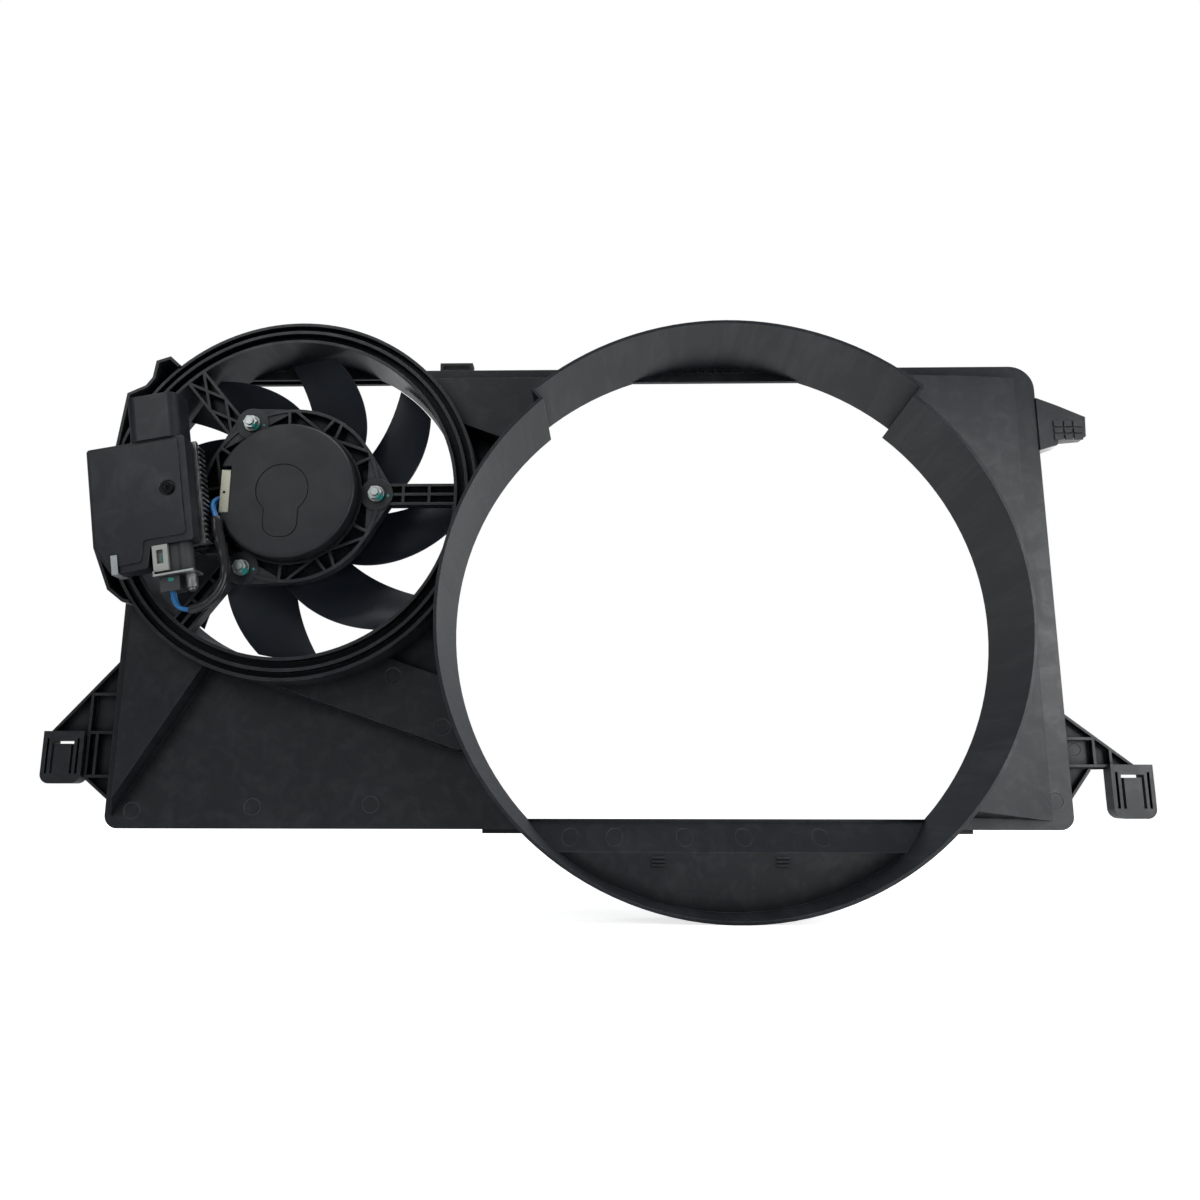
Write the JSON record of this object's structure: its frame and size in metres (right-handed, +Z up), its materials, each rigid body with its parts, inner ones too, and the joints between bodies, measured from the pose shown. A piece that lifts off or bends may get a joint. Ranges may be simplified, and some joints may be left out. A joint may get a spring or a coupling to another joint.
{
  "type": "radiator fan shroud",
  "caption": "Moulded radiator fan shroud with a large open ring for an engine-driven fan and a smaller ring with an electric fan, motor, control module, plug and snap clips.",
  "frame": {"origin": "axis of the main fan ring on the radiator plane", "axes": "+X to the right seen from the engine, +Y towards the radiator, +Z up"},
  "size_m": [0.911, 0.106, 0.4851],
  "materials": {
    "black_moulding": "moulded, fine grain",
    "fan_black": "moulded",
    "cover_black": "fine grain",
    "module_black": "satin",
    "zinc_steel": "zinc plated",
    "bright_steel": "ground",
    "dark_steel": "black oxide",
    "ferrite": "sintered",
    "lamination": "stacked sheets",
    "copper_wire": "enamelled",
    "copper_bar": "turned",
    "board_plastic": "moulded",
    "carbon": "pressed carbon",
    "cast_aluminium": "extruded",
    "board_green": "lacquered board",
    "tinned_brass": "tinned",
    "plug_grey": "moulded",
    "lock_grey": "moulded",
    "blue_wire": "PVC insulation",
    "sleeve_black": "extruded sleeve"
  },
  "bodies": {
    "shroud": {"shroud_panel": "black_moulding", "main_fan_ring": "black_moulding", "electric_fan_ring": "black_moulding", "motor_carrier": "black_moulding", "lead_clip": "black_moulding", "left_bracket": "black_moulding", "right_bracket": "black_moulding", "locating_peg": "black_moulding", "top_clip": "black_moulding", "module_rim": "black_moulding", "module_tray": "black_moulding", "motor_can": "zinc_steel", "field_magnets": "ferrite", "rear_bearing": "bright_steel", "front_bearing": "bright_steel", "brush_plate": "board_plastic", "brushes": "carbon", "brush_springs": "bright_steel", "terminal_bracket": "zinc_steel", "motor_cover": "cover_black", "motor_studs": "zinc_steel", "flange_nuts": "zinc_steel", "module_cover": "module_black", "module_screw": "dark_steel", "heat_sink": "cast_aluminium", "circuit_board": "board_green", "power_transistors": "board_plastic", "capacitors": "cast_aluminium", "choke": "copper_wire", "socket_pins": "tinned_brass", "module_clips": "zinc_steel", "motor_plug": "plug_grey", "plug_clip": "zinc_steel", "plug_block": "plug_grey", "wire_wrap": "cast_aluminium", "lead_wires": "blue_wire", "lead_sleeve": "sleeve_black"},
    "fan": {"fan_impeller": "fan_black", "hub_nut": "zinc_steel", "motor_shaft": "bright_steel", "armature_core": "lamination", "armature_windings": "copper_wire", "commutator": "copper_bar"},
    "plug_lock": {"plug_lock": "lock_grey"}
  },
  "joints": [
    {"name": "fan_spin", "type": "hinge", "parent": "shroud", "child": "fan", "pos_m": [-0.356, 0, 0.103], "axis": [0, -1, 0], "continuous": true},
    {"name": "lock_slide", "type": "slide", "parent": "shroud", "child": "plug_lock", "axis": [0, -1, 0], "range_m": [0, 0.005]}
  ]
}
